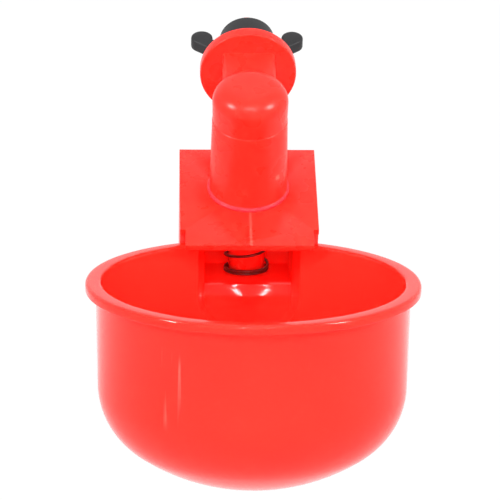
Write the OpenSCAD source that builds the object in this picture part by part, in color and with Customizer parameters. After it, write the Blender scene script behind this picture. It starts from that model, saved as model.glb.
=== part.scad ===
// Poultry drinking cup that fills itself. A bowl hangs under a hood on two pivot
// pins. A light bowl is pushed up in front by a spring round the water outlet, which
// opens the valve, and the weight of the water tips it down and shuts the valve.
//
// Frame: the origin is on the inlet's axis at the back face of its flange, where the
// bucket wall comes. The bowl lies towards -Y, the threaded stub points along +Y and
// the valve tube stands along +Z. All sizes are in millimetres.

/* [Bowl] */
// Outer diameter of the bowl's rim
rim_d = 80; // [70:1:90]
// Height of the rim's turned-down lip
rim_h = 2.3; // [2:0.1:4]
// Outer diameter of the bowl's wall under the rim
bowl_d = 75; // [62:0.5:75.5]
// Depth of the bowl from the rim to the outside of its bottom
bowl_depth = 50; // [44:1:60]
// Wall of the bowl and of its chamber
bowl_wall = 1.4; // [1.2:0.1:1.8]
// Radius of the bowl's lower corner, outside
knuckle_r = 19; // [15:0.5:24]
// Radius of the bowl's domed bottom, outside
crown_r = 50; // [45:1:80]
// Upward tilt of the empty bowl's rim
bowl_tilt = 23.4; // [18:0.2:26]
// Rim centre in front of the tube's axis
rim_reach = 49.7; // [49:0.1:52]
// Rim centre above the top of the hood
rim_rise = 9.75; // [9:0.05:11]

/* [Chamber behind the bowl] */
// Width inside the chamber that takes the spring
chamber_w = 22; // [20:0.2:22.4]
// Width of the chamber's flared mouth at the bowl
mouth_w = 25.2; // [24:0.2:26]
// Length over which the mouth narrows to the chamber
mouth_l = 5; // [3:0.5:6]
// Corner radius along the chamber's floor
chamber_corner = 8.5; // [6:0.5:9]
// Radius of the scoop between the platform and the floor
scoop_r = 11.5; // [10:0.5:13]
// Slope of the scoop where it leaves the platform
scoop_angle = 75; // [65:1:80]
// Platform under the spring, below the hood's top at the tube's axis
platform_drop = 26.6; // [26.2:0.1:27.2]
// Front edge of the platform, along it from the tube's axis
platform_front = 13.5; // [12:0.1:14]
// Back end of the platform, along it from the tube's axis
platform_back = 7.5; // [7:0.1:7.6]

/* [Hood] */
// Width over the hood's two side skirts
hood_w = 34.4; // [33:0.1:36]
// Wall of the hood
hood_wall = 1.5; // [1.2:0.1:2]
// Hood behind the tube's axis
hood_back = 16.1; // [15:0.1:18]
// Front of the full-width plate, before the tube's axis
hood_front = 17.3; // [16.5:0.1:18]
// Front of the narrow tongue, before the tube's axis
tongue_front = 23.8; // [21:0.1:26]
// Front edge of the skirts, before the tube's axis
skirt_front = 15.2; // [14:0.1:15.5]
// Height of the skirts at their back edge
skirt_h = 41; // [36:0.5:46]
// Radius of the skirts' curved lower edge
skirt_curve_r = 48.7; // [46:0.1:56]

/* [Pivot] */
// Pivot axis in front of the tube's axis
pivot_reach = 14; // [13:0.1:14.5]
// Pivot axis under the top of the hood
pivot_drop = 12; // [11:0.1:13]
// Radius of the pivot pins
pivot_r = 1.6; // [1.4:0.1:1.8]
// Radius of the round bosses that take the pins
boss_r = 3.2; // [2.8:0.1:3.4]

/* [Valve tube] */
// Height of the tube over the hood
tube_h = 31.3; // [29:0.1:34]
// Diameter of the tube at its foot
tube_foot_d = 19.6; // [18.6:0.1:20.4]
// Diameter of the tube at its mould line
tube_seam_d = 18.5; // [17.8:0.1:18.8]
// Height of the mould line over the hood
seam_h = 21.3; // [20:0.1:22.5]
// Diameter of the domed head
dome_d = 18.8; // [18.2:0.1:19.4]
// Radius of the dome's edge
dome_r = 4.6; // [3:0.1:6]
// Diameter of the collar on the hood
collar_d = 20.6; // [20.5:0.1:22]
// Height of the collar
collar_h = 0.7; // [0.5:0.1:1.5]
// Diameter of the valve space inside the tube
valve_space_d = 13; // [12.6:0.1:13.6]
// Height of the valve seat's lip over the hood
seat_h = 13.6; // [13.4:0.1:14.2]
// Diameter of the water way through the seat
seat_bore_d = 3.6; // [3:0.1:4.2]

/* [Inlet] */
// Inlet axis over the top of the hood
inlet_rise = 20.4; // [20:0.1:21.2]
// Tube axis in front of the bucket wall
wall_reach = 23.6; // [22:0.1:26]
// Width and height of the square pipe
pipe_w = 13.2; // [12:0.1:14]
// Rounding of the square pipe's long edges
pipe_edge_r = 1; // [0.6:0.1:2]
// Diameter of the flange
flange_d = 24.3; // [22:0.1:27]
// Thickness of the flange
flange_t = 3.2; // [2.4:0.1:4]
// Outer diameter of the threaded stub
stub_d = 9.2; // [8.8:0.1:9.6]
// Length of the stub behind the flange
stub_l = 16.6; // [16.4:0.1:20]
// Outer diameter of the plain nose on the stub's end
nose_d = 8.6; // [8:0.1:8.8]
// Length of that nose
nose_l = 3.6; // [3.2:0.1:3.8]
// Diameter of the water bore along the inlet
inlet_bore_d = 6; // [5:0.1:6.4]

/* [Wall gasket and wing nut] */
// Diameter of the gasket on the flange
gasket_d = 18; // [16:0.5:22]
// Thickness of the gasket
gasket_t = 1.2; // [0.8:0.1:1.6]
// Diameter of the wing nut's barrel
nut_d = 14; // [13:0.1:15]
// Length of the wing nut's barrel
nut_l = 11; // [9:0.1:11.4]
// Width over the nut's two wings
wing_span = 28.6; // [26:0.1:32]
// Thickness of a wing
wing_t = 2.6; // [2:0.1:3.2]
// Radius of a wing's round end
wing_end_r = 2.75; // [2.4:0.05:3.2]
// Half width of a wing where it leaves the barrel
wing_root_r = 4; // [3.4:0.1:4.6]
// Middle of a wing's end, from the nut's front face
wing_back = 9.8; // [9:0.1:10.4]
// Back edge of a wing's web at the barrel, from the nut's front face
wing_waist = 8; // [7:0.1:8.6]

/* [Outlet and valve stem] */
// Outer diameter of the outlet inside the spring
outlet_d = 9.3; // [8.8:0.1:9.5]
// Length of the outlet under the hood's top
outlet_l = 12; // [10:0.1:13]
// Water bore of the outlet
outlet_bore_d = 6.4; // [6:0.1:6.8]
// Diameter of the outlet's clamping flange
outlet_flange_d = 15; // [14.2:0.1:17]
// Thickness of the outlet's clamping flange
outlet_flange_t = 1.2; // [1:0.1:1.6]
// Room between the outlet's spigot and the seal above it
spigot_room = 1.3; // [0.6:0.1:2]
// Diameter of the stem's post inside the spring
post_d = 9.3; // [8.8:0.1:9.5]
// Lift of the stem from open to shut
valve_lift = 3.7; // [3.4:0.1:4]

/* [Return spring] */
// Outer diameter of the spring
spring_d = 11.6; // [11.2:0.1:12]
// Diameter of the spring's wire
spring_wire = 0.7; // [0.5:0.05:0.8]
// Open turns between the closed ends
spring_turns = 3.25; // [2.5:0.25:5]

/* [Hidden] */
$fn = 64;

red = [0.93, 0.10, 0.09];
nut_black = [0.10, 0.10, 0.11];
steel = [0.62, 0.62, 0.64];
rubber_black = [0.09, 0.09, 0.09];
silicone_white = [0.88, 0.87, 0.83];

// Clearances that fits are made with
slide_gap = 0.1;
pin_gap = 0.05;
seat_gap = 0.1;
rest_gap = 0.2;
side_gap = 0.3;
// How far joined shapes reach into each other, and how far cuts run past a face
overlap = 0.5;
cut = 1;
// Chamfers: on the flange and the outlet, on the stub's end and the nut
ease = 0.4;
lead = 0.5;
// Moulding gate's trace on the tongue's front edge
gate_r = 1.2;
gate_h = 0.15;
// Centre of the skirts' curved lower edge, behind the hood's back
skirt_lean = 10.5;

rim_r = rim_d / 2;
bowl_r = bowl_d / 2;
hood_inner = hood_w / 2 - hood_wall;
chamber_half = chamber_w / 2;
boss_out = hood_inner - side_gap;
socket_floor = chamber_half + bowl_wall + 0.6;
stem_r = outlet_bore_d / 2 - slide_gap;

// Stem's post: it ends under the outlet, and its cone stays clear of the tilted platform
post_r = post_d / 2;
post_tip_r = 1.2;
post_chamfer = 0.6;
post_top = -outlet_l - valve_lift - side_gap;
post_low = -platform_drop + post_r * tan(bowl_tilt) + 2 * rest_gap;
post_tip = -platform_drop + post_tip_r * tan(bowl_tilt) + rest_gap;

// Stem's knob and the rubber cap on it, up to the seat with the stem lifted
core_r = 1.5;
fin_t = 1;
knob_r = 2.2;
knob_tip_r = 1.2;
knob_h = 1.6;
seal_r = 3.7;
seal_cover = 0.8;
seal_skirt = 1;
seal_edge = 0.4;
knob_low = seat_h - valve_lift - 2 * seat_gap - seal_cover - knob_h;
fin_top = knob_low - seal_skirt - 1.2;
spigot_h = knob_low - seal_skirt - spigot_room;
outlet_flange_low = -hood_wall - outlet_flange_t;
lip_h = 1;
lip_r = seat_bore_d / 2 + 0.9;

// Places on the tube's own frame (its axis, the hood's top at zero, back along +Y)
// carried over to the cup's frame (the rim's centre, its axis along +Z)
function cup_y(y, z) = (y + rim_reach) * cos(bowl_tilt) - (z - rim_rise) * sin(bowl_tilt);
function cup_z(y, z) = (y + rim_reach) * sin(bowl_tilt) + (z - rim_rise) * cos(bowl_tilt);

// Platform that carries the spring, parallel to the rim
platform_y = cup_y(0, -platform_drop);
platform_z = cup_z(0, -platform_drop);
scoop_y = platform_y - platform_front - scoop_r * sin(scoop_angle);
scoop_z = platform_z + scoop_r * cos(scoop_angle);
chamber_floor = scoop_z - scoop_r;
boss_y = cup_y(-pivot_reach, -pivot_drop);
boss_z = cup_z(-pivot_reach, -pivot_drop);

module at_tube() {
    translate([0, -wall_reach, -inlet_rise]) children();
}

module at_cup() {
    at_tube() translate([0, -rim_reach, rim_rise]) rotate([-bowl_tilt, 0, 0]) children();
}

// A square outline with round corners, centred
module round_square(w, r) {
    square([w - 2 * r, w], center = true);
    square([w, w - 2 * r], center = true);
    for (x = [-1, 1], y = [-1, 1])
        translate([x * (w / 2 - r), y * (w / 2 - r)]) circle(r);
}

// Half section of the domed tube with its collar, the mould line and the round edge
module tube_section() {
    polygon([[0, 0], [collar_d / 2, 0], [collar_d / 2, collar_h], [tube_foot_d / 2, collar_h],
             [tube_seam_d / 2 + 0.12, seam_h], [tube_seam_d / 2, seam_h + 0.12],
             [dome_d / 2, tube_h - dome_r], [0, tube_h - dome_r]]);
    translate([dome_d / 2 - dome_r, tube_h - dome_r])
        intersection() {
            circle(dome_r);
            square(dome_r + 1);
        }
    translate([0, tube_h - dome_r - overlap]) square([dome_d / 2 - dome_r, dome_r + overlap]);
}

module valve_body() {
    color(red)
    difference() {
        union() {
            at_tube() rotate_extrude() tube_section();
            // square pipe from the tube to the flange
            translate([0, -flange_t + overlap, 0]) rotate([90, 0, 0])
                linear_extrude(wall_reach - flange_t + overlap) round_square(pipe_w, pipe_edge_r);
            // flange with eased rims
            rotate([90, 0, 0]) rotate_extrude()
                polygon([[0, 0], [flange_d / 2 - ease, 0], [flange_d / 2, ease],
                         [flange_d / 2, flange_t - ease], [flange_d / 2 - ease, flange_t],
                         [0, flange_t]]);
            // stub for the thread, with a plain nose that finds the wall's hole
            rotate([-90, 0, 0]) rotate_extrude()
                polygon([[0, -overlap], [stub_d / 2, -overlap],
                         [stub_d / 2, stub_l - nose_l - (stub_d - nose_d) / 2],
                         [nose_d / 2, stub_l - nose_l], [nose_d / 2, stub_l - lead],
                         [nose_d / 2 - lead, stub_l], [0, stub_l]]);
        }
        // water way along the inlet, then down through the seat
        translate([0, stub_l + cut, 0]) rotate([90, 0, 0])
            cylinder(d = inlet_bore_d, h = stub_l + cut + wall_reach);
        at_tube() translate([0, 0, seat_h - cut])
            cylinder(d = seat_bore_d, h = inlet_rise - seat_h + cut);
        // valve space, with the seat's lip left standing down from its ceiling
        at_tube() rotate_extrude()
            polygon([[0, -cut], [valve_space_d / 2, -cut], [valve_space_d / 2, seat_h + lip_h],
                     [lip_r + ease, seat_h + lip_h], [lip_r, seat_h], [0, seat_h]]);
    }
}

// Side outline of a skirt: straight back and front, and a long curve below
module skirt_side() {
    curve_y = hood_back + skirt_lean;
    intersection() {
        translate([-skirt_front, -skirt_h]) square([skirt_front + hood_back, skirt_h]);
        translate([curve_y, -skirt_h + sqrt(pow(skirt_curve_r, 2) - pow(curve_y - hood_back, 2))])
            circle(skirt_curve_r, $fn = 128);
    }
}

module hood() {
    color(red)
    at_tube() {
        difference() {
            union() {
                // plate and narrower tongue
                translate([-hood_w / 2, -hood_front, -hood_wall])
                    cube([hood_w, hood_front + hood_back, hood_wall]);
                translate([-hood_inner, -tongue_front, -hood_wall])
                    cube([2 * hood_inner, tongue_front, hood_wall]);
                // moulding gate's trace on the tongue's edge
                translate([0, -tongue_front + gate_r, -overlap])
                    cylinder(r = gate_r, h = overlap + gate_h);
                for (s = [-1, 1])
                    translate([s * (hood_w / 2 - hood_wall / 2), 0, 0])
                        rotate([90, 0, 90]) linear_extrude(hood_wall, center = true) skirt_side();
            }
            translate([0, 0, -hood_wall - cut])
                cylinder(d = valve_space_d + 2 * pin_gap, h = hood_wall + 2 * cut);
        }
        // pivot pins inside the skirts
        for (s = [-1, 1])
            translate([s * (hood_inner + overlap), -pivot_reach, -pivot_drop])
                rotate([0, -s * 90, 0])
                    cylinder(r = pivot_r, h = hood_inner + overlap - socket_floor - rest_gap);
    }
}

// Half section of the bowl: straight wall, lower corner and domed bottom, each
// moved in by the inset
module bowl_section(inset) {
    corner_x = bowl_r - 0.4 - knuckle_r;
    crown_z = -bowl_depth + crown_r;
    corner_z = crown_z - sqrt(pow(crown_r - knuckle_r, 2) - pow(corner_x, 2));
    reach = 2 * crown_r;
    polygon([[0, 1], [bowl_r - inset, 1], [bowl_r - inset, 0],
             [corner_x + knuckle_r - inset, corner_z], [0, corner_z]]);
    intersection() {
        translate([corner_x, corner_z]) circle(knuckle_r - inset, $fn = 96);
        translate([0, -reach]) square([reach, reach + corner_z + overlap]);
    }
    intersection() {
        translate([0, crown_z]) circle(crown_r - inset, $fn = 128);
        polygon([[0, crown_z], [0, crown_z - reach],
                 [reach * corner_x / (crown_r - knuckle_r),
                  crown_z - reach * (crown_z - corner_z) / (crown_r - knuckle_r)]]);
        translate([0, -reach]) square([reach, reach + corner_z + overlap]);
    }
}

// Rim lip, turned down round the wall, with a groove under it
module rim_section() {
    inner = bowl_r - bowl_wall;
    edge = 0.7;
    difference() {
        union() {
            translate([inner, -rim_h]) square([rim_r - inner, rim_h - edge]);
            translate([inner + edge, -rim_h]) square([rim_r - inner - 2 * edge, rim_h]);
            for (x = [inner + edge, rim_r - edge]) translate([x, -edge]) circle(edge);
        }
        translate([bowl_r, -rim_h - 1]) square([rim_r - bowl_r - 1.2, 2]);
    }
}

// Side outline of the chamber's space in the cup's frame (back along X), moved out
// by the wall
module chamber_side(out) {
    front = bowl_r - 5;
    top = 1;
    low = platform_z - out;
    edge = scoop_y + sqrt(pow(scoop_r + out, 2) - pow(scoop_z - low, 2));
    back = platform_y + platform_back + out;
    translate([front, chamber_floor - out]) square([scoop_y - front, top - chamber_floor + out]);
    intersection() {
        translate([scoop_y, scoop_z]) circle(scoop_r + out, $fn = 96);
        translate([scoop_y - 1, chamber_floor - out - 1]) square([scoop_r + out + 2, scoop_r + out + 1]);
    }
    polygon([[scoop_y, scoop_z], [edge, low], [back, low], [back, top], [scoop_y, top]]);
}

// Cross section of the chamber's mouth with round lower corners
module chamber_front(out) {
    w = mouth_w / 2 + out;
    r = chamber_corner + out;
    low = chamber_floor - out;
    translate([-w, low + r]) square([2 * w, 2 - low - r]);
    translate([-w + r, low]) square([2 * (w - r), r + overlap]);
    for (s = [-1, 1]) translate([s * (w - r), low + r]) circle(r);
}

// The chamber seen from above: a wide mouth that narrows to the chamber's width
module chamber_plan(out) {
    mouth = mouth_w / 2 + out;
    w = chamber_half + out;
    flare = bowl_r - 3;
    back = platform_y + platform_back + out + cut;
    polygon([[-mouth, 0], [mouth, 0], [mouth, flare], [w, flare + mouth_l], [w, back],
             [-w, back], [-w, flare + mouth_l], [-mouth, flare]]);
}

module chamber_solid(out) {
    depth = platform_y + 2 * scoop_r;
    intersection() {
        rotate([90, 0, 90]) linear_extrude(mouth_w + 2 * out + 2, center = true)
            chamber_side(out);
        translate([0, depth, 0]) rotate([90, 0, 0]) linear_extrude(depth) chamber_front(out);
        translate([0, 0, chamber_floor - out - 1]) linear_extrude(4 - chamber_floor + out)
            chamber_plan(out);
    }
}

module cup() {
    color(red)
    at_cup() {
        difference() {
            union() {
                rotate_extrude($fn = 128) bowl_section(0);
                rotate_extrude($fn = 128) rim_section();
                chamber_solid(bowl_wall);
                // pivot bosses on the chamber's sides
                for (s = [-1, 1])
                    translate([s * chamber_half, boss_y, boss_z]) rotate([0, s * 90, 0])
                        cylinder(r = boss_r, h = boss_out - chamber_half);
            }
            rotate_extrude($fn = 128) bowl_section(bowl_wall);
            chamber_solid(0);
            // everything stops at the rim's plane
            translate([-rim_d, -rim_d, 0]) cube([2 * rim_d, 2 * rim_d, 3]);
            // blind sockets for the pivot pins
            for (s = [-1, 1])
                translate([s * (boss_out + 1), boss_y, boss_z]) rotate([0, -s * 90, 0])
                    cylinder(r = pivot_r + pin_gap, h = boss_out + 1 - socket_floor);
        }
    }
}

module outlet_nozzle() {
    color(red)
    at_tube() rotate_extrude()
        difference() {
            polygon([[0, -outlet_l], [outlet_d / 2 - lead, -outlet_l],
                     [outlet_d / 2, -outlet_l + lead], [outlet_d / 2, outlet_flange_low],
                     [outlet_flange_d / 2, outlet_flange_low], [outlet_flange_d / 2, -hood_wall],
                     [valve_space_d / 2 - pin_gap, -hood_wall],
                     [valve_space_d / 2 - pin_gap, spigot_h], [0, spigot_h]]);
            translate([0, -outlet_l - cut])
                square([outlet_bore_d / 2, outlet_l + spigot_h + 2 * cut]);
        }
}

// Stem with four fins that guide it, a knob for the seal and a post inside the spring,
// whose tip rides on the cup's platform
module valve_stem() {
    color(red)
    at_tube() {
        rotate_extrude()
            polygon([[0, post_tip], [post_tip_r, post_tip], [post_r, post_low],
                     [post_r, post_top - post_chamfer], [post_r - post_chamfer, post_top],
                     [core_r, post_top], [core_r, knob_low], [knob_r, knob_low],
                     [knob_r, knob_low + knob_h / 2], [knob_tip_r, knob_low + knob_h],
                     [0, knob_low + knob_h]]);
        // fins, within the outlet's bore
        intersection() {
            translate([0, 0, post_top - overlap])
                cylinder(r = stem_r, h = fin_top - post_top + overlap);
            union() for (a = [0, 90]) rotate(a)
                translate([-stem_r - cut, -fin_t / 2, post_top - overlap])
                    cube([2 * (stem_r + cut), fin_t, fin_top - post_top + overlap]);
        }
    }
}

// Rubber cap pushed over the stem's knob
module valve_seal() {
    low = knob_low - seal_skirt;
    top = knob_low + knob_h + seal_cover;
    color(rubber_black)
    at_tube() rotate_extrude()
        polygon([[core_r, low], [seal_r - seal_edge, low], [seal_r, low + seal_edge],
                 [seal_r, top], [0, top], [0, knob_low + knob_h],
                 [knob_tip_r, knob_low + knob_h], [knob_r, knob_low + knob_h / 2],
                 [knob_r, knob_low], [core_r, knob_low]]);
}

// A closed tube swept along a list of centre points
function ring_points(centre, along, r, sides) =
    let (side = [-along[1], along[0], 0] / norm([along[0], along[1]]),
         up = cross(along / norm(along), side))
    [for (k = [0 : sides - 1])
        let (a = 360 * k / sides) centre + r * (cos(a) * side + sin(a) * up)];

module swept_wire(path, r, sides = 8) {
    n = len(path);
    rings = [for (i = [0 : n - 1])
        ring_points(path[i], path[min(i + 1, n - 1)] - path[max(i - 1, 0)], r, sides)];
    points = [for (ring = rings) for (p = ring) p];
    walls = [for (i = [0 : n - 2], k = [0 : sides - 1])
        let (m = (k + 1) % sides)
        [i * sides + k, i * sides + m, (i + 1) * sides + m, (i + 1) * sides + k]];
    start_cap = [[for (k = [sides - 1 : -1 : 0]) k]];
    end_cap = [[for (k = [0 : sides - 1]) (n - 1) * sides + k]];
    polyhedron(concat(points), concat(walls, start_cap, end_cap), convexity = 10);
}

// Compression spring with a closed turn and a half at each end. Its lower turns lean
// with the cup's platform and its upper ones lie level under the outlet's flange.
module return_spring() {
    low = -platform_drop + (spring_wire / 2 + seat_gap) / cos(bowl_tilt);
    high = outlet_flange_low - spring_wire / 2;
    mean_r = (spring_d - spring_wire) / 2;
    closed = 1.5;
    high_rise = closed * spring_wire * 1.04;
    low_rise = high_rise / cos(bowl_tilt);
    steps = 24;
    start = 144;
    turns = spring_turns + 2 * closed;
    open_rise = high - low - low_rise - high_rise;
    function rise(t) = t < closed ? t / closed * low_rise
        : t > turns - closed ? high - low - (turns - t) / closed * high_rise
        : low_rise + (t - closed) / spring_turns * open_rise;
    function lean(t) = tan(bowl_tilt) * min(1, max(0, 1 - (t - closed) / spring_turns));
    color(steel)
    at_tube() swept_wire([for (i = [0 : turns * steps])
        let (t = i / steps, x = mean_r * cos(360 * t + start), y = mean_r * sin(360 * t + start))
        [x, y, low + rise(t) - y * lean(t)]],
        spring_wire / 2);
}

module wall_gasket() {
    color(silicone_white)
    rotate([-90, 0, 0])
        difference() {
            cylinder(d = gasket_d, h = gasket_t);
            translate([0, 0, -cut]) cylinder(d = stub_d + 2 * slide_gap, h = gasket_t + 2 * cut);
        }
}

// Outline of one wing: a round lobe on a web, whose front edge touches the lobe and a
// circle in the barrel, and whose back edge leaves a waist beside the barrel
module wing_side() {
    end = [wing_span / 2 - wing_end_r, wing_back];
    root = [wing_root_r, nut_l / 2];
    run = norm(end - root);
    u = (end - root) / run;
    n = [-u[1], u[0]];
    lean = asin((wing_root_r - wing_end_r) / run);
    front = sin(lean) * u - cos(lean) * n;
    polygon([root + wing_root_r * front, end + wing_end_r * front, end,
             [nut_d / 2 - overlap, wing_waist], [wing_root_r, wing_waist]]);
    translate(end) circle(wing_end_r);
}

module wing_nut() {
    color(nut_black)
    translate([0, gasket_t + side_gap, 0]) rotate([-90, 0, 0])
        difference() {
            union() {
                rotate_extrude()
                    polygon([[0, 0], [nut_d / 2 - lead, 0], [nut_d / 2, lead],
                             [nut_d / 2, nut_l - ease], [nut_d / 2 - ease, nut_l],
                             [0, nut_l]]);
                for (a = [0, 180]) rotate(a) rotate([90, 0, 0])
                    linear_extrude(wing_t, center = true) wing_side();
            }
            translate([0, 0, -cut]) cylinder(d = stub_d + 2 * pin_gap, h = nut_l + 4 * cut);
        }
}

valve_body();
hood();
cup();
outlet_nozzle();
valve_stem();
valve_seal();
return_spring();
wall_gasket();
wing_nut();
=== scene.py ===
# %% [markdown]
# # A poultry drinking cup that fills itself
# A red bowl hangs in a hood on two pivots. Above it stands a tube with a water valve, and
# a short square pipe leads back to a flange and a threaded stub, which a wing nut pulls
# tight against a bucket's wall. Every piece is a plastic moulding, apart from a steel
# spring, a rubber seal and a soft gasket. The measured model gives the sizes and places,
# and here each piece is modelled again with softer edges and a real finish.

# %% Load the measured model
import math

import bpy
from mathutils import Matrix, Vector


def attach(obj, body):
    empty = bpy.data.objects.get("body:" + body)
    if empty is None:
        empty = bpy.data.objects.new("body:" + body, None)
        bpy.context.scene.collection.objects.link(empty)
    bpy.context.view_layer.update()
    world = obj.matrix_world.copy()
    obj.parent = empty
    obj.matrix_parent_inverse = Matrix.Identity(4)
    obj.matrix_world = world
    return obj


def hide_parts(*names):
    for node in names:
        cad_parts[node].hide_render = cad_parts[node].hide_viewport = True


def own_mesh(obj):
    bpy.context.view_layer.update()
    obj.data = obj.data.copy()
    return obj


MM = 0.001
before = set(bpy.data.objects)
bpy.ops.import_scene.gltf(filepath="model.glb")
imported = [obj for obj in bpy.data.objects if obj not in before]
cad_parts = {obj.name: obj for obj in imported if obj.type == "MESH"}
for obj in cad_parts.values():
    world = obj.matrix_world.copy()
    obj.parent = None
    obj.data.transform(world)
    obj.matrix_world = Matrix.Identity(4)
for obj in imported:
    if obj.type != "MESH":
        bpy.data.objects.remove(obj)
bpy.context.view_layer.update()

# %% [markdown]
# The camera looks down on the cup from the front at about 37 degrees, through a long lens.
# Its place could be found by eye, but a place worked out from a few points that are seen
# in the picture is surer. It is given here as angles round the top of the hood. The
# camera has no lens shift, so it turns down a little to centre the picture.

# %% Camera
VIEW_AZIMUTH = math.radians(-2.095)
VIEW_HEIGHT = math.radians(36.887)
VIEW_ROLL = math.radians(1.471)
VIEW_DISTANCE = 834.2 * MM
FOCAL_PIXELS = 3316
PICTURE_PIXELS = 500
SENSOR_MM = 36
HOOD_TOP = Vector((0, -23.6, -20.4)) * MM
HOOD_TOP_PIXEL = (248.17, 187.54)


def point_camera():
    """Puts the camera where the hood's top lands on its pixel."""
    back = Vector((math.sin(VIEW_AZIMUTH) * math.cos(VIEW_HEIGHT),
                   -math.cos(VIEW_AZIMUTH) * math.cos(VIEW_HEIGHT),
                   math.sin(VIEW_HEIGHT)))
    level = Vector((math.cos(VIEW_AZIMUTH), math.sin(VIEW_AZIMUTH), 0))
    over = back.cross(level)
    right = level * math.cos(VIEW_ROLL) + over * math.sin(VIEW_ROLL)
    up = over * math.cos(VIEW_ROLL) - level * math.sin(VIEW_ROLL)
    middle = PICTURE_PIXELS / 2
    ray = (-back * FOCAL_PIXELS + right * (middle - HOOD_TOP_PIXEL[0])
           - up * (middle - HOOD_TOP_PIXEL[1]))
    z_axis = -ray.normalized()
    x_axis = (right - z_axis * right.dot(z_axis)).normalized()
    y_axis = z_axis.cross(x_axis)
    turn = Matrix((x_axis, y_axis, z_axis)).transposed().to_4x4()
    bpy.ops.object.camera_add()
    camera = bpy.context.object
    camera.name = "camera"
    camera.matrix_world = Matrix.Translation(HOOD_TOP + back * VIEW_DISTANCE) @ turn
    camera.data.sensor_width = SENSOR_MM
    camera.data.lens = FOCAL_PIXELS * SENSOR_MM / PICTURE_PIXELS
    camera.data.clip_start = 10 * MM
    return camera


bpy.context.scene.camera = point_camera()
bpy.context.scene.view_settings.view_transform = "Standard"
print("lens", round(bpy.context.scene.camera.data.lens, 1), "mm")

# %% [markdown]
# Glossy plastic shows the room that it stands in. Two soft lamps far out to the sides give
# the pair of highlights on the dome, and two narrow tubes close together above the camera
# give the pair in the scoop. A large fill lamp by the camera lights the chamber and leaves
# no highlight. One lamp would light the cup as well, but the highlights come in pairs.

# %% Lamps, room and floor
LAMP_TURN = 73
LAMP_HEIGHT = 38
LAMP_DISTANCE = 750 * MM
LAMP_SIZE = 150 * MM
LAMP_WATTS = 5
TUBE_LAMP_TURN = 13
TUBE_LAMP_HEIGHT = 57
TUBE_LAMP_W = 25 * MM
TUBE_LAMP_L = 230 * MM
TUBE_LAMP_WATTS = 1.2
FILL_TURN = 0
FILL_HEIGHT = 37
FILL_SIZE = 300 * MM
FILL_WATTS = 6
FLOOR_DROP = 300 * MM
FLOOR_SIZE = 12
LOOK_AT = Vector((0, -50, -25)) * MM


def soft_lamp(name, turn, height, distance, size, watts):
    """A square lamp that points at the cup, turned from the front towards +X."""
    turn, height = math.radians(turn), math.radians(height)
    away = Vector((math.sin(turn) * math.cos(height), -math.cos(turn) * math.cos(height),
                   math.sin(height)))
    bpy.ops.object.light_add(type="AREA", location=LOOK_AT + away * distance)
    lamp = bpy.context.object
    lamp.name = name
    lamp.rotation_euler = away.to_track_quat("Z", "Y").to_euler()
    lamp.data.shape = "SQUARE"
    lamp.data.size = size
    lamp.data.energy = watts
    return lamp


for name, side in (("left", -1), ("right", 1)):
    soft_lamp("lamp_" + name, side * LAMP_TURN, LAMP_HEIGHT, LAMP_DISTANCE, LAMP_SIZE,
              LAMP_WATTS)
    tube_lamp = soft_lamp("tube_lamp_" + name, side * TUBE_LAMP_TURN, TUBE_LAMP_HEIGHT,
                          LAMP_DISTANCE, TUBE_LAMP_W, TUBE_LAMP_WATTS)
    tube_lamp.data.shape = "RECTANGLE"
    tube_lamp.data.size_y = TUBE_LAMP_L
fill = soft_lamp("lamp_fill", FILL_TURN, FILL_HEIGHT, LAMP_DISTANCE, FILL_SIZE, FILL_WATTS)
fill.visible_glossy = False

# %% [markdown]
# Shader maths reads best as maths. The class below wraps a socket, so that an expression
# such as `1 - mask * 0.5` adds its own Math nodes. All other nodes come from one method,
# which takes the node's type, its settings, and the values or links of its sockets.


# %% Shader helpers
class Wire:
    """An output socket that can be used in sums."""

    def __init__(self, finish, socket):
        self.finish = finish
        self.socket = socket

    def maths(self, operation, first, second):
        return self.finish.node("ShaderNodeMath", {"operation": operation},
                                {0: first, 1: second})

    def __add__(self, other):
        return self.maths("ADD", self, other)

    def __radd__(self, other):
        return self.maths("ADD", other, self)

    def __sub__(self, other):
        return self.maths("SUBTRACT", self, other)

    def __rsub__(self, other):
        return self.maths("SUBTRACT", other, self)

    def __mul__(self, other):
        return self.maths("MULTIPLY", self, other)

    def __rmul__(self, other):
        return self.maths("MULTIPLY", other, self)

    def __truediv__(self, other):
        return self.maths("DIVIDE", self, other)

    def __pow__(self, other):
        return self.maths("POWER", self, other)


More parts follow.
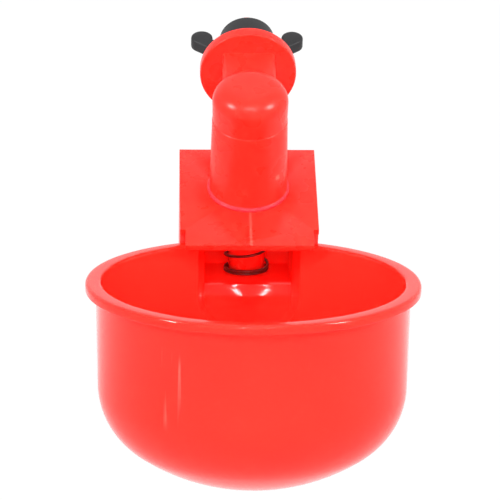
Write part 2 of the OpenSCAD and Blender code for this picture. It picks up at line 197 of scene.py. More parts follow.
class Finish:
    """A node tree, of a material or of the world, that nodes are added to."""

    def __init__(self, owner):
        owner.use_nodes = True
        self.owner = owner
        self.tree = owner.node_tree
        self.tree.nodes.clear()

    def node(self, kind, settings=None, values=None, out=0):
        made = self.tree.nodes.new(kind)
        for key, value in (settings or {}).items():
            if key == "stops":
                self.set_stops(made.color_ramp, value)
            else:
                setattr(made, key, value)
        for key, value in (values or {}).items():
            if isinstance(value, Wire):
                self.tree.links.new(value.socket, made.inputs[key])
            else:
                made.inputs[key].default_value = value
        return Wire(self, made.outputs[out]) if len(made.outputs) else None

    def set_stops(self, ramp, stops):
        while len(ramp.elements) < len(stops):
            ramp.elements.new(0.5)
        for element, (place, colour) in zip(ramp.elements, stops):
            element.position = place
            element.color = colour

    def noise(self, scale, detail=2, stretch=(1, 1, 1)):
        """Even noise in the piece's own space. The scale is in patches per metre."""
        place = self.node("ShaderNodeTexCoord", out="Object")
        place = self.node("ShaderNodeMapping", values={"Vector": place, "Scale": stretch})
        return self.node("ShaderNodeTexNoise", values={"Vector": place, "Scale": scale,
                                                       "Detail": detail})

    def coordinates(self):
        """The piece's own coordinates in millimetres, as three wires."""
        place = self.node("ShaderNodeTexCoord", out="Object")
        return [self.node("ShaderNodeSeparateXYZ", values={0: place}, out=i) / MM
                for i in range(3)]

    def within(self, wire, middle, half, soft):
        """1 near the middle, falling to 0 past the half width."""
        away = self.node("ShaderNodeMath", {"operation": "ABSOLUTE"}, {0: wire - middle})
        return self.node("ShaderNodeMapRange", {"interpolation_type": "SMOOTHSTEP"},
                         {0: away, 1: half, 2: half + soft, 3: 1, 4: 0})

    def blend(self, share, first, second):
        return self.node("ShaderNodeMix", {"data_type": "RGBA"},
                         {"Factor": share, "A": first, "B": second}, out="Result")

    def surface(self, shader):
        kind = "World" if isinstance(self.owner, bpy.types.World) else "Material"
        self.node("ShaderNodeOutput" + kind, values={"Surface": shader})


# %% [markdown]
# The picture's background is plain white. The room and the floor are white where the
# camera or a reflection sees them, and only moderately bright where they light the cup,
# so the plastic keeps its own colour.

# %% Room and floor
ROOM_LIGHT = 0.8
FLOOR_GREY = 0.80
SHADOW_SHARE = 0.06


def seen_directly(finish):
    """1 on rays from the camera, a mirror or glass, and 0 on light that falls."""
    seen = None
    for ray in ("Is Camera Ray", "Is Glossy Ray", "Is Transmission Ray"):
        wire = finish.node("ShaderNodeLightPath", out=ray)
        seen = wire if seen is None else seen.maths("MAXIMUM", seen, wire)
    return seen


def white_room():
    room = Finish(bpy.data.worlds.new("pale_room"))
    bpy.context.scene.world = room.owner
    seen = seen_directly(room)
    room.surface(room.node("ShaderNodeBackground", values={
        "Color": (1, 1, 1, 1), "Strength": ROOM_LIGHT + (1 - ROOM_LIGHT) * seen}))


def white_floor():
    bpy.ops.mesh.primitive_plane_add(size=FLOOR_SIZE, location=(0, 0, -FLOOR_DROP))
    floor = bpy.context.object
    floor.name = "floor"
    paint = Finish(bpy.data.materials.new("floor_white"))
    shade = (FLOOR_GREY, FLOOR_GREY, FLOOR_GREY, 1)
    matt = paint.node("ShaderNodeBsdfDiffuse", values={"Color": shade})
    glow = paint.node("ShaderNodeEmission", values={"Color": (1, 1, 1, 1), "Strength": 1})
    share = (1 - SHADOW_SHARE) * seen_directly(paint)
    paint.surface(paint.node("ShaderNodeMixShader", values={0: share, 1: matt, 2: glow}))
    floor.data.materials.append(paint.owner)


white_room()
white_floor()

# %% [markdown]
# Most of these mouldings are turned shapes, so they start as a profile: half of the
# section, drawn point by point as one would by pressing E in edit mode, then spun round
# the axis. Flat shapes start as an outline that is filled and extruded.


# %% Modelling helpers
def deselect_all():
    if bpy.context.mode != "OBJECT":
        bpy.ops.object.mode_set(mode="OBJECT")
    bpy.ops.object.select_all(action="DESELECT")


def activate(piece):
    deselect_all()
    piece.select_set(True)
    bpy.context.view_layer.objects.active = piece


def draw(name, points):
    """Draws a chain of edges through points in metres, and stays in edit mode."""
    deselect_all()
    bpy.ops.mesh.primitive_plane_add(size=MM)
    piece = bpy.context.object
    piece.name = name
    bpy.ops.object.mode_set(mode="EDIT")
    bpy.ops.mesh.select_mode(type="VERT")
    bpy.ops.mesh.merge(type="CENTER")
    bpy.ops.transform.translate(value=points[0])
    for start, end in zip(points, points[1:]):
        step = Vector(end) - Vector(start)
        bpy.ops.mesh.extrude_region_move(TRANSFORM_OT_translate={"value": step})
    bpy.ops.mesh.select_all(action="SELECT")
    return piece


def close_up(piece):
    """Merges what meets, and turns the faces outwards."""
    bpy.ops.mesh.select_all(action="SELECT")
    bpy.ops.mesh.remove_doubles(threshold=0.002 * MM)
    bpy.ops.mesh.normals_make_consistent(inside=False)
    bpy.ops.object.mode_set(mode="OBJECT")
    return piece


def spun(name, profile, steps=96):
    """Spins a profile of (radius, height) points in millimetres round the Z axis."""
    piece = draw(name, [(r * MM, 0, z * MM) for r, z in profile])
    bpy.ops.mesh.spin(steps=steps, angle=math.tau, center=(0, 0, 0), axis=(0, 0, 1))
    return close_up(piece)


def slab(name, outline, run):
    """Fills a closed outline of points in millimetres and extrudes it by run."""
    points = [Vector(point) * MM for point in outline]
    piece = draw(name, points + points[:1])
    bpy.ops.mesh.remove_doubles(threshold=0.002 * MM)
    bpy.ops.mesh.edge_face_add()
    bpy.ops.mesh.extrude_region_move(TRANSFORM_OT_translate={"value": Vector(run) * MM})
    return close_up(piece)


def arc(centre, radius, first, last, steps):
    """Points of an arc, from and to angles in degrees."""
    angles = [math.radians(first + (last - first) * i / steps) for i in range(steps + 1)]
    return [(centre[0] + radius * math.cos(a), centre[1] + radius * math.sin(a))
            for a in angles]


def put(piece, place):
    """Moves a piece's mesh to its place, and leaves its object at the origin."""
    activate(piece)
    piece.matrix_world = place
    bpy.ops.object.transform_apply(location=True, rotation=True, scale=True)
    return piece


def apply_modifier(piece, kind, **settings):
    activate(piece)
    modifier = piece.modifiers.new(kind.lower(), kind)
    for key, value in settings.items():
        setattr(modifier, key, value)
    bpy.ops.object.modifier_apply(modifier=modifier.name)


def combine(piece, operation, *tools, solver="EXACT"):
    """Adds solids to a piece, or cuts them out of it."""
    for tool in tools:
        apply_modifier(piece, "BOOLEAN", operation=operation, object=tool, solver=solver)
        bpy.data.objects.remove(tool)
    return piece


def soften(piece, width, segments=2, angle=35, smooth=35):
    """Rounds the sharp edges and smooths the shading across them."""
    apply_modifier(piece, "BEVEL", width=width * MM, segments=segments,
                   limit_method="ANGLE", angle_limit=math.radians(angle),
                   use_clamp_overlap=True, miter_outer="MITER_ARC")
    activate(piece)
    bpy.ops.object.shade_smooth_by_angle(angle=math.radians(smooth))
    return piece


# %% [markdown]
# The model has three places that shapes are drawn in: the inlet's axis at the flange, the
# tube's axis at the hood's top, and the rim's centre of the tilted bowl. A matrix takes a
# shape from there to its place on the whole object.

# %% Places on the object
WALL_REACH = 23.6
INLET_RISE = 20.4
RIM_REACH = 49.7
RIM_RISE = 9.75
BOWL_TILT = 23.4
TILT = math.radians(BOWL_TILT)
AT_TUBE = Matrix.Translation(Vector((0, -WALL_REACH, -INLET_RISE)) * MM)
AT_CUP = (AT_TUBE @ Matrix.Translation(Vector((0, -RIM_REACH, RIM_RISE)) * MM)
          @ Matrix.Rotation(-TILT, 4, "X"))
AT_INLET = Matrix.Rotation(-math.pi / 2, 4, "X")


def to_cup(y, z):
    """A point of the tube's place, seen from the rim's centre."""
    y, z = y + RIM_REACH, z - RIM_RISE
    return (y * math.cos(TILT) - z * math.sin(TILT), y * math.sin(TILT) + z * math.cos(TILT))


# %% [markdown]
# The bowl is a deep round cup with a nearly straight wall, a wide round corner and a
# slightly domed bottom. It is spun as one closed shell, outside and inside at once, with
# its turned-down lip. Cutting the inside out of a full block would also work, but it
# leaves thin slivers along the rim's round edge.

# %% The bowl's shell
RIM_R = 40
RIM_H = 2.3
LIP_T = 1.2
RIM_ROUND = 0.8
BOWL_R = 37.5
BOWL_DEPTH = 50
BOWL_WALL = 1.4
KNUCKLE_R = 19
CROWN_R = 50
WALL_DRAFT = 0.4


def bowl_profile(inset):
    """Half section from the bottom's middle to the top of the wall, moved in."""
    corner = (BOWL_R - WALL_DRAFT - KNUCKLE_R, 0)
    crown_z = CROWN_R - BOWL_DEPTH
    drop = math.sqrt((CROWN_R - KNUCKLE_R) ** 2 - corner[0] ** 2)
    corner = (corner[0], crown_z - drop)
    meet = -math.degrees(math.atan2(drop, corner[0]))
    crown = arc((0, crown_z), CROWN_R - inset, -90, meet, 14)
    return crown[:-1] + arc(corner, KNUCKLE_R - inset, meet, 0, 18)


def bowl_shell():
    lip_in = RIM_R - LIP_T
    groove_z = 1 - RIM_H
    inner = BOWL_R - BOWL_WALL
    rim = [(BOWL_R - 0.02, groove_z - 0.25)]
    rim += arc((BOWL_R + 0.25, groove_z - 0.25), 0.25, 180, 90, 3)[1:]
    rim += [(lip_in, groove_z)]
    rim += arc((lip_in + 0.35, 0.35 - RIM_H), 0.35, 180, 270, 3)
    rim += arc((RIM_R - 0.35, 0.35 - RIM_H), 0.35, -90, 0, 3)
    rim += arc((RIM_R - RIM_ROUND, -RIM_ROUND), RIM_ROUND, 0, 90, 6)
    rim += arc((inner + RIM_ROUND, -RIM_ROUND), RIM_ROUND, 90, 180, 6)
    return spun("cup", bowl_profile(0) + rim + bowl_profile(BOWL_WALL)[::-1], 144)


def bowl_filling():
    """Fills the bowl to the middle of its wall, and trims what is joined from behind."""
    middle = BOWL_WALL / 2
    return spun("filling", bowl_profile(middle) + [(BOWL_R - middle, 3), (0, 3)], 144)


# %% [markdown]
# The chamber behind the bowl reaches under the hood and holds the valve's spring. Its
# flat platform carries the spring, and a round scoop leads down from it to the bowl. From
# the front it looks like a U cut out of the bowl's back wall, a little wider at its
# mouth. Its side view, its front view and its plan are each extruded, and what all three
# share is the chamber.

# %% The chamber's block and hollow
CHAMBER_HALF = 11
MOUTH_HALF = 12.6
MOUTH_L = 5
CHAMBER_CORNER = 8.5
SCOOP_R = 11.5
SCOOP_ANGLE = math.radians(75)
PLATFORM_DROP = 26.6
PLATFORM_FRONT = 13.5
PLATFORM_BACK = 7.5
CHAMBER_FRONT = BOWL_R - 5
FLARE_START = BOWL_R - 3

platform = to_cup(0, -PLATFORM_DROP)
scoop_centre = (platform[0] - PLATFORM_FRONT - SCOOP_R * math.sin(SCOOP_ANGLE),
                platform[1] + SCOOP_R * math.cos(SCOOP_ANGLE))
chamber_floor = scoop_centre[1] - SCOOP_R
print("chamber floor", round(chamber_floor, 1), "mm under the rim")


def chamber_side(out, top):
    """Side view in the cup's place, as (back, up), moved out by the wall."""
    low = platform[1] - out
    leave = math.degrees(math.asin((low - scoop_centre[1]) / (SCOOP_R + out)))
    back = platform[0] + PLATFORM_BACK + out
    return ([(CHAMBER_FRONT, chamber_floor - out)]
            + arc(scoop_centre, SCOOP_R + out, -90, leave, 20)
            + [(back, low), (back, top), (CHAMBER_FRONT, top)])


def chamber_front(out, top):
    """Front view: straight sides with round lower corners, as (across, up)."""
    half = MOUTH_HALF + out
    r = CHAMBER_CORNER + out
    low = chamber_floor - out
    return (arc((-half + r, low + r), r, 180, 270, 14)
            + arc((half - r, low + r), r, 270, 360, 14)
            + [(half, top + 1), (-half, top + 1)])


def chamber_plan(out):
    """Plan: the mouth narrows to the chamber in a soft S, as (across, back)."""
    half = []
    for i in range(11):
        ease = (1 - math.cos(math.pi * i / 10)) / 2
        half.append((MOUTH_HALF + out + (CHAMBER_HALF - MOUTH_HALF) * ease,
                     FLARE_START + MOUTH_L * i / 10))
    half = [(MOUTH_HALF + out, 0)] + half + [(CHAMBER_HALF + out, platform[0] + 12)]
    return half + [(-x, y) for x, y in half[::-1]]


def chamber_block(name, out, top):
    half = MOUTH_HALF + out + 1
    side = slab(name, [(-half, y, z) for y, z in chamber_side(out, top)], (2 * half, 0, 0))
    front = slab("front_view", [(x, 1, z) for x, z in chamber_front(out, top)],
                 (0, platform[0] + 15, 0))
    plan = slab("plan", [(x, y, 5) for x, y in chamber_plan(out)], (0, 0, chamber_floor - 10))
    return combine(side, "INTERSECT", front, plan)


# %% [markdown]
# The cup turns on two short pins that stand inside the hood's skirts. On each side of the
# chamber a round boss with a blind socket takes one. They are turned shapes too, laid on
# their side.

# %% The cup with its chamber, bosses and sockets
PIVOT_R = 1.6
PIN_GAP = 0.05
BOSS_R = 3.2
BOSS_OUT = 15.4
SOCKET_FLOOR = 13
pivot_place = to_cup(-14, -12)


def sideways(piece, side, place):
    """Lays a turned shape along X, to one side, with its axis at place, (back, up)."""
    turned = Matrix.Rotation(side * math.pi / 2, 4, "Y")
    return put(piece, Matrix.Translation(Vector((0, place[0], place[1])) * MM) @ turned)


def boss():
    hole = PIVOT_R + PIN_GAP
    return spun("boss", [(0, SOCKET_FLOOR), (hole, SOCKET_FLOOR), (hole, BOSS_OUT - 0.2),
                         (hole + 0.2, BOSS_OUT), (BOSS_R - 0.25, BOSS_OUT),
                         (BOSS_R, BOSS_OUT - 0.25), (BOSS_R, CHAMBER_HALF + BOWL_WALL / 2),
                         (0, CHAMBER_HALF + BOWL_WALL / 2)], 40)


def build_cup():
    cup = bowl_shell()
    chamber = chamber_block("chamber", BOWL_WALL, -0.03)
    combine(cup, "UNION", combine(chamber, "DIFFERENCE", bowl_filling()))
    combine(cup, "DIFFERENCE", chamber_block("chamber_hollow", 0, 2.5))
    for side in (-1, 1):
        combine(cup, "UNION", sideways(boss(), side, pivot_place))
    soften(cup, 0.3)
    return put(cup, AT_CUP)


cup = build_cup()
print("cup", len(cup.data.polygons), "faces")

# %% [markdown]
# The hood is one flat plate with a narrower tongue over the bowl and two side skirts with
# a long curved lower edge. A flat outline for each and two joins are enough. The mould
# left a small gate mark on the tongue's front edge, with a faint flow line from it to the
# tube.

# %% The hood
HOOD_HALF = 17.2
HOOD_WALL = 1.5
HOOD_BACK = 16.1
HOOD_FRONT = 17.3
TONGUE_FRONT = 23.8
SKIRT_FRONT = 15.2
SKIRT_H = 41
SKIRT_R = 48.7
SKIRT_LEAN = 10.5
HOOD_HOLE_R = 6.55
PIN_END = 13.2
GATE_R = 1.2


def hood_plate():
    inner = HOOD_HALF - HOOD_WALL
    tongue = inner + 0.15
    half = [(HOOD_HALF, HOOD_BACK), (HOOD_HALF, -HOOD_FRONT), (tongue, -HOOD_FRONT),
            (tongue, -TONGUE_FRONT)]
    outline = [(-x, y) for x, y in half] + half[::-1]
    return slab("hood", [(x, y, 0) for x, y in outline], (0, 0, -HOOD_WALL))


def skirt(side):
    centre = (HOOD_BACK + SKIRT_LEAN, math.sqrt(SKIRT_R ** 2 - SKIRT_LEAN ** 2) - SKIRT_H)
    low = math.degrees(math.atan2(-SKIRT_H - centre[1], -SKIRT_LEAN))
    dy = -SKIRT_FRONT - centre[0]
    high = math.degrees(math.atan2(-math.sqrt(SKIRT_R ** 2 - dy ** 2), dy))
    curve = arc(centre, SKIRT_R, low, high, 24)
    outline = [(HOOD_BACK, -0.2)] + curve + [(-SKIRT_FRONT, -0.2)]
    x = side * HOOD_HALF
    return slab("skirt", [(x, y, z) for y, z in outline], (-side * HOOD_WALL, 0, 0))


def build_hood():
    hood = combine(hood_plate(), "UNION", skirt(-1), skirt(1))
    inner = HOOD_HALF - HOOD_WALL
    for side in (-1, 1):
        pin = spun("pin", [(0, PIN_END), (PIVOT_R - 0.3, PIN_END), (PIVOT_R, PIN_END + 0.3),
                           (PIVOT_R, inner + 0.5), (0, inner + 0.5)], 40)
        combine(hood, "UNION", sideways(pin, side, (-14, -12)))
    gate = spun("gate", [(0, -0.5), (GATE_R, -0.5), (GATE_R, 0.1), (GATE_R - 0.1, 0.15),
                         (0, 0.15)], 32)
    combine(hood, "UNION", put(gate, Matrix.Translation(
        Vector((0, GATE_R + 0.02 - TONGUE_FRONT, 0)) * MM)))
    hole = spun("hole", [(0, -3), (HOOD_HOLE_R, -3), (HOOD_HOLE_R, 1), (0, 1)], 64)
    combine(hood, "DIFFERENCE", hole)
    soften(hood, 0.22)
    return put(hood, AT_TUBE)


hood = build_hood()
print("hood", len(hood.data.polygons), "faces")

# %% [markdown]
# The valve body is the most solid moulding: a domed tube on a thin collar, a square pipe
# with rounded edges, a round flange and the stub. Its turned parts are profiles, and the
# pipe is a rounded square that is extruded from the flange into the tube.

# %% The valve body
TUBE_H = 31.3
TUBE_FOOT_R = 9.8
TUBE_SEAM_R = 9.25
SEAM_H = 21.3
DOME_R = 9.4
DOME_ROUND = 4.6
COLLAR_R = 10.3
COLLAR_H = 0.7
SPACE_R = 6.5
SEAT_H = 13.6
SEAT_BORE_R = 1.8
PIPE_HALF = 6.6
PIPE_ROUND = 1.0
FLANGE_R = 12.15
FLANGE_T = 3.2
STUB_L = 16.6
NOSE_R = 4.3
NOSE_L = 3.6
THREAD_ROOT_R = 4.1
THREAD_R = 4.6
THREAD_PITCH = 1.5
BORE_R = 3


def domed_tube():
    collar_round = 0.3
    profile = [(0, 0), (COLLAR_R, 0)]
    profile += arc((COLLAR_R - collar_round, COLLAR_H - collar_round), collar_round, 0, 90, 3)
    profile += arc((TUBE_FOOT_R + 0.25, COLLAR_H + 0.25), 0.25, 270, 180, 3)
    profile += [(TUBE_SEAM_R + 0.12, SEAM_H - 0.05), (TUBE_SEAM_R + 0.02, SEAM_H + 0.05),
                (TUBE_SEAM_R + 0.02, SEAM_H + 0.15)]
    profile += arc((DOME_R - DOME_ROUND, TUBE_H - DOME_ROUND), DOME_ROUND, 0, 84, 14)
    profile += [(DOME_R - DOME_ROUND - 2.5, TUBE_H - 0.0), (0, TUBE_H)]
    return spun("valve_body", profile, 96)


def rounded_square(half, r, steps=5):
    points = []
    for turn, (x, y) in zip((0, 90, 180, 270), ((1, 1), (-1, 1), (-1, -1), (1, -1))):
        centre = (x * (half - r), y * (half - r))
        points += arc(centre, r, turn, turn + 90, steps)
    return points


def flange_and_stub():
    """Turned round the inlet's axis: flange to the front, stub to the back."""
    ease = 0.4
    profile = [(0, -FLANGE_T)]
    profile += arc((FLANGE_R - ease, ease - FLANGE_T), ease, -90, 0, 4)
    profile += arc((FLANGE_R - ease, -ease), ease, 0, 90, 4)
    neck = STUB_L - NOSE_L
    profile += [(THREAD_ROOT_R, 0), (THREAD_ROOT_R, neck - 0.4), (NOSE_R, neck - 0.2),
                (NOSE_R, STUB_L - 0.5), (NOSE_R - 0.2, STUB_L - 0.15),
                (NOSE_R - 0.5, STUB_L), (0, STUB_L)]
    return put(spun("flange", profile, 96), AT_INLET)


def stub_thread():
    """One tooth's section, wound round the stub with a Screw modifier."""
    start = 0.8
    flank = 0.5
    inner = THREAD_ROOT_R - 0.3
    tooth = [(inner, start - flank), (THREAD_ROOT_R, start - flank), (THREAD_R, start - 0.15),
             (THREAD_R, start + 0.15), (THREAD_ROOT_R, start + flank), (inner, start + flank)]
    points = [Vector((r, 0, z)) * MM for r, z in tooth]
    thread = draw("thread", points + points[:1])
    bpy.ops.mesh.remove_doubles(threshold=0.002 * MM)
    bpy.ops.object.mode_set(mode="OBJECT")
    turns = int((STUB_L - NOSE_L - 2 * start) / THREAD_PITCH)
    apply_modifier(thread, "SCREW", screw_offset=THREAD_PITCH * MM, iterations=turns,
                   steps=36, render_steps=36)
    bpy.ops.object.mode_set(mode="EDIT")
    bpy.ops.mesh.select_mode(type="EDGE")
    bpy.ops.mesh.select_all(action="DESELECT")
    bpy.ops.mesh.select_non_manifold()
    bpy.ops.mesh.edge_face_add()
    close_up(thread)
    return put(thread, AT_INLET)


def build_valve_body():
    body = put(domed_tube(), AT_TUBE)
    square = [(x, -FLANGE_T / 2, z) for x, z in rounded_square(PIPE_HALF, PIPE_ROUND)]
    pipe = slab("pipe", square, (0, FLANGE_T / 2 - WALL_REACH, 0))
    combine(body, "UNION", pipe, flange_and_stub())
    bore = spun("bore", [(0, -WALL_REACH), (BORE_R, -WALL_REACH), (BORE_R, STUB_L + 1),
                         (0, STUB_L + 1)], 48)
    space = [(0, -1), (SPACE_R, -1), (SPACE_R, SEAT_H + 1), (SEAT_BORE_R + 1.3, SEAT_H + 1),
             (SEAT_BORE_R + 0.9, SEAT_H), (SEAT_BORE_R, SEAT_H), (SEAT_BORE_R, INLET_RISE),
             (0, INLET_RISE)]
    combine(body, "DIFFERENCE", put(bore, AT_INLET), put(spun("space", space, 48), AT_TUBE))
    soften(body, 0.25)
    combine(body, "UNION", stub_thread(), solver="MANIFOLD")
    activate(body)
    bpy.ops.object.shade_smooth_by_angle(angle=math.radians(35))
    return body


valve_body = build_valve_body()
print("valve body", len(valve_body.data.polygons), "faces")

# %% [markdown]
# Under the hood hang the small parts of the valve. The outlet is a turned tube whose
# flange clamps the hood to the body. The stem slides in it, with a rubber cap on top, and
# its foot disc carries the spring and rests on the cup. The gasket is a turned ring.

# %% Outlet, stem, seal and gasket
OUTLET_R = 4.65
OUTLET_L = 12
OUTLET_BORE_R = 3.2
OUTLET_FLANGE_R = 7.5
OUTLET_FLANGE_LOW = 2.7
SPIGOT_R = 6.45
SPIGOT_H = 5
POST_R = 4.65
POST_TOP = -16
POST_LOW = -24.19
POST_TIP = -25.88
POST_TIP_R = 1.2
CORE_R = 1.5
STEM_R = 3.1
KNOB_LOW = 7.3
SEAL_R = 3.7
GASKET_R = 9
GASKET_T = 1.2
GASKET_HOLE_R = 4.7


def build_outlet():
    ring = [(OUTLET_BORE_R, -OUTLET_L), (OUTLET_R - 0.4, -OUTLET_L),
            (OUTLET_R, -OUTLET_L + 0.4), (OUTLET_R, -OUTLET_FLANGE_LOW),
            (OUTLET_FLANGE_R, -OUTLET_FLANGE_LOW), (OUTLET_FLANGE_R, -HOOD_WALL),
            (SPIGOT_R, -HOOD_WALL), (SPIGOT_R, SPIGOT_H), (OUTLET_BORE_R, SPIGOT_H)]
    return put(soften(spun("outlet_nozzle", ring + ring[:1], 64), 0.15), AT_TUBE)


def build_stem():
    profile = [(0, POST_TIP), (POST_TIP_R, POST_TIP), (POST_R, POST_LOW),
               (POST_R, POST_TOP - 0.6), (POST_R - 0.6, POST_TOP),
               (CORE_R, POST_TOP), (CORE_R, KNOB_LOW), (2.2, KNOB_LOW),
               (2.2, KNOB_LOW + 0.8), (1.2, KNOB_LOW + 1.6), (0, KNOB_LOW + 1.6)]
    stem = spun("valve_stem", profile, 64)
    low, high = POST_TOP - 0.5, KNOB_LOW - 2.2
    reach = STEM_R - 0.05
    outline = [(-reach, low), (reach, low), (reach, high), (-reach, high)]
    fins = slab("fins", [(x, -0.5, z) for x, z in outline], (0, 1, 0))
    cross = slab("fins", [(-0.5, x, z) for x, z in outline], (1, 0, 0))
    combine(stem, "UNION", fins, cross)
    return put(soften(stem, 0.12), AT_TUBE)


def build_seal():
    low, top = KNOB_LOW - 1, KNOB_LOW + 2.4
    inside = [(0, KNOB_LOW + 1.6), (1.2, KNOB_LOW + 1.6), (2.2, KNOB_LOW + 0.8),
              (2.2, KNOB_LOW), (CORE_R, KNOB_LOW), (CORE_R, low)]
    outside = [(SEAL_R - 0.4, low), (SEAL_R, low + 0.4), (SEAL_R, top - 0.2),
               (SEAL_R - 0.2, top), (0, top)]
    seal = spun("valve_seal", inside + outside, 48)
    activate(seal)
    bpy.ops.object.shade_smooth_by_angle(angle=math.radians(35))
    return put(seal, AT_TUBE)


def build_gasket():
    ease = 0.25
    ring = [(GASKET_HOLE_R, 0), (GASKET_R - ease, 0), (GASKET_R, ease),
            (GASKET_R, GASKET_T - ease), (GASKET_R - ease, GASKET_T),
            (GASKET_HOLE_R, GASKET_T), (GASKET_HOLE_R, 0)]
    return put(soften(spun("wall_gasket", ring, 72), 0.1), AT_INLET)


outlet_nozzle = build_outlet()
valve_stem = build_stem()
valve_seal = build_seal()
wall_gasket = build_gasket()

# %% [markdown]
# The spring has a closed turn and a half at each end and wide turns between. A Screw
# modifier would give one even pitch, so the wire follows a curve of points instead, whose
# bevel is the wire's thickness, and the curve is then made a mesh.

# %% The return spring
WIRE_R = 0.35
SPRING_R = 5.45
OPEN_TURNS = 3.25
CLOSED_TURNS = 1.5
SPRING_START = math.radians(144)
SPRING_STEPS = 32


def spring_points():
    """The lower turns lean with the cup's platform, and the upper ones lie level."""
    low = (WIRE_R + 0.1) / math.cos(TILT) - PLATFORM_DROP
    high = -OUTLET_FLANGE_LOW - WIRE_R
    high_rise = CLOSED_TURNS * 2 * WIRE_R * 1.04
    low_rise = high_rise / math.cos(TILT)
    turns = OPEN_TURNS + 2 * CLOSED_TURNS
    open_rise = high - low - low_rise - high_rise
    for i in range(int(turns * SPRING_STEPS) + 1):
        t = i / SPRING_STEPS
        if t < CLOSED_TURNS:
            rise = t / CLOSED_TURNS * low_rise
        elif t > turns - CLOSED_TURNS:
            rise = high - low - (turns - t) / CLOSED_TURNS * high_rise
        else:
            rise = low_rise + (t - CLOSED_TURNS) / OPEN_TURNS * open_rise
        lean = math.tan(TILT) * min(1, max(0, 1 - (t - CLOSED_TURNS) / OPEN_TURNS))
        x = SPRING_R * math.cos(math.tau * t + SPRING_START)
        y = SPRING_R * math.sin(math.tau * t + SPRING_START)
        yield x, y, low + rise - y * lean


def build_spring():
    points = [Vector(point) * MM for point in spring_points()]
    curve = bpy.data.curves.new("return_spring", "CURVE")
    curve.dimensions = "3D"
    line = curve.splines.new("POLY")
    line.points.add(len(points) - 1)
    for knot, point in zip(line.points, points):
        knot.co = (*point, 1)
    curve.bevel_depth = WIRE_R * MM
    curve.bevel_resolution = 3
    curve.use_fill_caps = True
    spring = bpy.data.objects.new("spring_wire", curve)
    bpy.context.collection.objects.link(spring)
    activate(spring)
    bpy.ops.object.convert(target="MESH")
    spring = bpy.context.object
    bpy.ops.object.mode_set(mode="EDIT")
    close_up(spring)
    bpy.ops.object.shade_smooth_by_angle(angle=math.radians(50))
    return put(spring, AT_TUBE)


return_spring = build_spring()
print("spring", len(return_spring.data.polygons), "faces")

# %% [markdown]
# The wing nut is a short barrel with two rounded wings that lean back. One wing's outline
# is drawn, extruded and bevelled, and copied to the other side by half a turn.

# %% The wing nut
NUT_R = 7
NUT_L = 11
NUT_FACE = 1.5
NUT_BORE_R = 4.65
WING_REACH = 14.3
WING_T = 3.2
WING_END_R = 2.75
WING_ROOT_R = 4
WING_BACK = 9.8
WING_WAIST = 8


def wing(turn):
    end = Vector((WING_REACH - WING_END_R, WING_BACK))
    root = Vector((WING_ROOT_R, NUT_L / 2))
    along = end - root
    swing = math.degrees(math.asin((WING_ROOT_R - WING_END_R) / along.length))
    front = math.degrees(math.atan2(along.y, along.x)) - 90 + swing
    web = Vector((NUT_R - 0.5, WING_WAIST)) - end
    back = math.degrees(math.atan2(web.y, web.x)) + 360
    outline = arc(root, WING_ROOT_R, front, front, 1)[:1] + arc(end, WING_END_R, front, back, 24)
    outline += [(NUT_R - 0.5, WING_WAIST), (WING_ROOT_R, WING_WAIST)]
    side = slab("wing", [(x, -WING_T / 2, z) for x, z in outline], (0, WING_T, 0))
    apply_modifier(side, "BEVEL", width=0.7 * MM, segments=3, limit_method="ANGLE",
                   angle_limit=math.radians(50))
    return put(side, Matrix.Rotation(turn, 4, "Z"))


def build_wing_nut():
    barrel = [(0, 0), (NUT_R - 0.5, 0), (NUT_R, 0.5), (NUT_R, NUT_L - 0.4),
              (NUT_R - 0.4, NUT_L), (0, NUT_L)]
    nut = spun("wing_nut", barrel, 72)
    combine(nut, "UNION", wing(0), wing(math.pi))
    bore = [(0, -1), (NUT_BORE_R, -1), (NUT_BORE_R, NUT_L + 4), (0, NUT_L + 4)]
    combine(nut, "DIFFERENCE", spun("nut_bore", bore, 48))
    soften(nut, 0.25)
    return put(nut, Matrix.Translation(Vector((0, NUT_FACE, 0)) * MM) @ AT_INLET)


wing_nut = build_wing_nut()
print("wing nut", len(wing_nut.data.polygons), "faces")

# %% [markdown]
# The red plastic lets some light through: red travels a few millimetres inside it, so
# even the deep chamber glows. Most paler tones are reflections of the white room. The
# surface has the soft unevenness of a moulded skin, and slightly duller patches. The bowl
# comes from a polished mould and the other red pieces are a little duller.

# %% Red plastic
RED = (0.97, 0.018, 0.010, 1)
RED_DEEP = (0.96, 0.014, 0.009, 1)
# A pinker red, painted on the collar as a highlight.
COLLAR_HIGHLIGHT_RED = (0.96, 0.022, 0.036, 1)
RED_PALE = (0.97, 0.110, 0.085, 1)


def red_plastic(name, dullness, ripple, marks=None):
    paint = Finish(bpy.data.materials.new(name))
    colour = paint.blend(paint.noise(45, 3), RED_DEEP, RED)
    if marks:
        colour = marks(paint, colour)
    skin = paint.noise(900, 2)
    waves = paint.noise(140, 1)
    bump = paint.node("ShaderNodeBump", values={
        "Strength": 0.25, "Distance": ripple * MM, "Height": skin * 0.3 + waves})
    rough = dullness + 0.08 * paint.noise(160, 3)
    paint.surface(paint.node("ShaderNodeBsdfPrincipled", values={
        "Base Color": colour, "Roughness": rough, "Normal": bump,
        "Specular IOR Level": 0.2, "Subsurface Weight": 0.6,
        "Subsurface Radius": (1, 0.03, 0.03), "Subsurface Scale": 6 * MM}))
    return paint.owner


# %% [markdown]
# The mould left its traces. Where the plastic flowed away from the gate there is a pale
# line on the tongue, and the tube has a small nick. Two masks are painted light instead:
# a pinker ring on the thin collar is a painted highlight on its rounded edge, and fine
# upright streaks on the left of the bowl are a painted reflection of a lamp. Each is a
# mask made from the piece's own coordinates, so it stays in its place when a piece moves.

# %% Traces of the mould, and painted highlights
def hood_marks(paint, colour):
    x, y, z = paint.coordinates()
    line = paint.within(x, 0.3, 0.12, 0.3) * paint.within(y, -40.5, 6.4, 0.6)
    return paint.blend(line * 0.55, colour, RED_PALE)


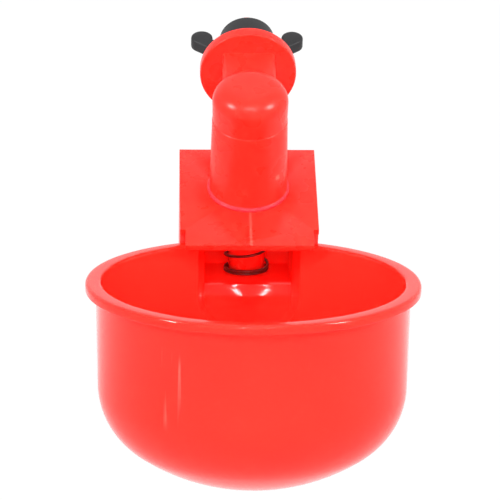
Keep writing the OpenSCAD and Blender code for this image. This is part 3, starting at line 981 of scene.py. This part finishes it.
def tube_nick_and_highlight(paint, colour):
    x, y, z = paint.coordinates()
    out = ((x * x) + (y + WALL_REACH) * (y + WALL_REACH)) ** 0.5
    # The collar's pinker ring is a painted highlight on its rounded edge.
    foot = paint.within(z, -INLET_RISE + 0.3, 0.5, 0.3) * paint.within(out, 10.2, 0.45, 0.3)
    colour = paint.blend(foot * 0.9, colour, COLLAR_HIGHLIGHT_RED)
    nick = (paint.within(x, 7.0, 0.25, 0.35) * paint.within(z, -12.2, 0.35, 0.5)
            * paint.within(y, -30, 2, 1))
    return paint.blend(nick * 0.8, colour, RED_PALE)


def bowl_painted_reflection(paint, colour):
    x, y, z = paint.coordinates()
    # Fine upright streaks on the bowl's left are a painted reflection of a lamp.
    lamp_streaks = paint.noise(1, 2, (900, 30, 30))
    lamp_streaks = paint.node("ShaderNodeMapRange", values={0: lamp_streaks, 1: 0.52, 2: 0.66, 3: 0, 4: 1})
    patch = (paint.within(x, -20, 2.2, 1.8) * paint.within(z, -15, 6, 4)
             * paint.within(y, -100, 12, 6))
    return paint.blend(lamp_streaks * patch * 0.6, colour, RED_PALE)


# %% [markdown]
# The nut is a duller black plastic, the wire is drawn steel with a dark skin, and the
# seal and the gasket are soft. Each gets one method, with its own grain.

# %% Black plastic, steel, rubber and silicone
def black_plastic():
    paint = Finish(bpy.data.materials.new("black_plastic"))
    grain = paint.noise(2500, 2)
    cloud = paint.noise(220, 3)
    colour = paint.blend(cloud, (0.005, 0.0048, 0.0055, 1), (0.014, 0.0135, 0.015, 1))
    bump = paint.node("ShaderNodeBump", values={
        "Strength": 0.4, "Distance": 0.03 * MM, "Height": grain})
    paint.surface(paint.node("ShaderNodeBsdfPrincipled", values={
        "Base Color": colour, "Roughness": 0.42 + 0.15 * cloud, "Normal": bump,
        "Specular IOR Level": 0.3}))
    return paint.owner


def spring_steel():
    paint = Finish(bpy.data.materials.new("spring_steel"))
    streak = paint.noise(700, 3)
    colour = paint.blend(streak, (0.10, 0.035, 0.03, 1), (0.26, 0.14, 0.13, 1))
    paint.surface(paint.node("ShaderNodeBsdfPrincipled", values={
        "Base Color": colour, "Metallic": 0.9, "Roughness": 0.3 + 0.2 * streak}))
    return paint.owner


def soft_ring(name, low, high, rough):
    paint = Finish(bpy.data.materials.new(name))
    cloud = paint.noise(400, 3)
    colour = paint.blend(cloud, (*low, 1), (*high, 1))
    bump = paint.node("ShaderNodeBump", values={
        "Strength": 0.3, "Distance": 0.02 * MM, "Height": paint.noise(3000, 2)})
    paint.surface(paint.node("ShaderNodeBsdfPrincipled", values={
        "Base Color": colour, "Roughness": rough + 0.1 * cloud, "Normal": bump}))
    return paint.owner


# %% [markdown]
# Each new piece stands for one measured node, takes its finish, and rides on the body
# that the node belongs to.

# %% Finishes and bodies
BOWL_RED = ("red_plastic", red_plastic("red_plastic_bowl", 0.04, 0.002, bowl_painted_reflection))
HOOD_RED = ("red_plastic", red_plastic("red_plastic_hood", 0.24, 0.02, hood_marks))
TUBE_RED = ("red_plastic", red_plastic("red_plastic_tube", 0.24, 0.02, tube_nick_and_highlight))
PLAIN_RED = ("red_plastic", red_plastic("red_plastic", 0.24, 0.02))
BLACK_SLOT = ("black_plastic", black_plastic())
STEEL_SLOT = ("spring_steel", spring_steel())
RUBBER_SLOT = ("black_rubber", soft_ring("black_rubber", (0.02, 0.02, 0.02),
                                         (0.035, 0.035, 0.035), 0.7))
SILICONE_SLOT = ("pale_silicone", soft_ring("pale_silicone", (0.70, 0.69, 0.65),
                                            (0.78, 0.77, 0.73), 0.4))
PIECES = (
    (cup, "cup", "cup", BOWL_RED),
    (hood, "hood", "housing", HOOD_RED),
    (valve_body, "valve_body", "housing", TUBE_RED),
    (outlet_nozzle, "outlet_nozzle", "housing", PLAIN_RED),
    (valve_stem, "valve_stem", "stem", PLAIN_RED),
    (valve_seal, "valve_seal", "stem", RUBBER_SLOT),
    (return_spring, "return_spring", "housing", STEEL_SLOT),
    (wall_gasket, "wall_gasket", "housing", SILICONE_SLOT),
    (wing_nut, "wing_nut", "nut", BLACK_SLOT),
)

for piece, node, body, (slot, finish) in PIECES:
    piece.name = node + "_finished"
    piece.data.materials.clear()
    piece.data.materials.append(finish)
    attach(piece, body)
    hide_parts(node)

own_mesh(return_spring)
